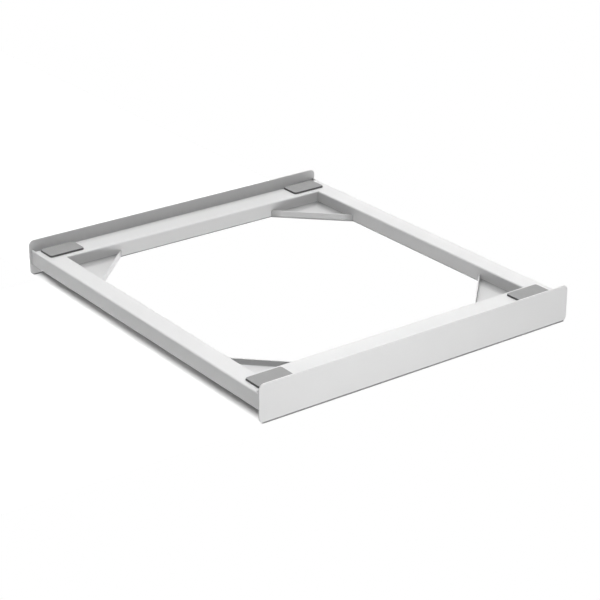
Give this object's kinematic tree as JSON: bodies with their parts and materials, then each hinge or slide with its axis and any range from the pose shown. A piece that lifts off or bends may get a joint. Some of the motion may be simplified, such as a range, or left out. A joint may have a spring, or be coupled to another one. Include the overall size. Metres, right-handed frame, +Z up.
{
  "type": "washer dryer stacking kit",
  "caption": "Flat white steel frame with upright side plates and rubber corner pads, for standing a dryer on a washing machine.",
  "frame": {"origin": "on the ground under the middle of the frame, at the bottom edges of the two side plates", "axes": "+X to the right, from side plate to side plate; +Y from the front rail to the rear rail; +Z up"},
  "size_m": [0.608, 0.54, 0.057],
  "materials": {
    "white_paint": "smooth white powder coat, semi-gloss",
    "grey_rubber": "matt mid-grey rubber sheet"
  },
  "bodies": {
    "root": {"front_rail": "white_paint", "rear_rail": "white_paint", "left_beam": "white_paint", "right_beam": "white_paint", "left_side_plate": "white_paint", "right_side_plate": "white_paint", "front_left_gusset": "white_paint", "front_right_gusset": "white_paint", "rear_left_gusset": "white_paint", "rear_right_gusset": "white_paint", "front_left_top_pad": "grey_rubber", "front_right_top_pad": "grey_rubber", "rear_left_top_pad": "grey_rubber", "rear_right_top_pad": "grey_rubber", "front_left_under_pad": "grey_rubber", "front_right_under_pad": "grey_rubber", "rear_left_under_pad": "grey_rubber", "rear_right_under_pad": "grey_rubber"}
  },
  "joints": []
}
